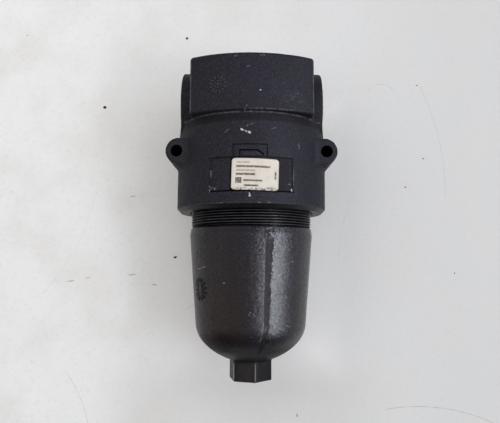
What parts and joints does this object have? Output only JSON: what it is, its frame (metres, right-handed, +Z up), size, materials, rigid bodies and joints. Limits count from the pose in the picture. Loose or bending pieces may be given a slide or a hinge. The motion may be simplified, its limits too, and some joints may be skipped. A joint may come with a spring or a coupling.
{
  "type": "hydraulic filter",
  "caption": "High-pressure hydraulic line filter: cast head with side ports and mounting lugs, screw-in domed bowl with a hexagon, pleated element and bypass valve inside.",
  "frame": {"origin": "centre of the flat mounting pad at the back of the head, on the line through the two lug holes", "axes": "+X from the inlet port to the outlet port, +Y into the wall that the filter is bolted to, +Z up along the bowl's axis from the bowl to the head"},
  "size_m": [0.129, 0.121, 0.2422],
  "materials": {
    "head_paint": "satin paint",
    "bowl_paint": "satin paint",
    "sticker": "satin",
    "rubber": "satin",
    "backup_plastic": "satin",
    "filter_medium": "matte",
    "plated_steel": "satin",
    "spring_steel": "satin",
    "copper": "satin",
    "black_oxide": "satin"
  },
  "bodies": {
    "head": {"filter_head": "head_paint", "name_label": "sticker", "indicator_plug": "black_oxide", "indicator_plug_seal": "plated_steel", "element_top_cap": "plated_steel", "element_bottom_cap": "plated_steel", "element_media": "filter_medium", "element_core_tube": "plated_steel", "element_seam_clip": "plated_steel", "element_o_ring": "rubber", "bypass_cage": "plated_steel", "bypass_seat": "plated_steel", "bypass_seat_clip": "spring_steel", "bypass_seal": "copper", "bypass_shim": "plated_steel", "bypass_spring": "spring_steel"},
    "bowl_seals": {"bowl_o_ring": "rubber", "bowl_backup_ring": "backup_plastic"},
    "bowl": {"filter_bowl": "bowl_paint"},
    "poppet": {"bypass_poppet": "plated_steel"}
  },
  "joints": [
    {"name": "bowl_travel", "type": "slide", "parent": "head", "child": "bowl_seals", "axis": [0, 0, 1], "range_m": [-0.0161, 0.0115]},
    {"name": "bowl_turn", "type": "hinge", "parent": "bowl_seals", "child": "bowl", "pos_m": [0, -0.061, 0], "axis": [0, 0, 1], "range_deg": [-2880, 2052]},
    {"name": "bypass_lift", "type": "slide", "parent": "head", "child": "poppet", "axis": [0, 0, 1], "range_m": [0, 0.005], "stiffness_N_per_m": 600, "springref_m": -0.005, "deforming": ["bypass_spring"]}
  ],
  "couplings": [
    {"joint": "bowl_travel", "follows": "bowl_turn", "m_per_rad": 0.00031831}
  ]
}
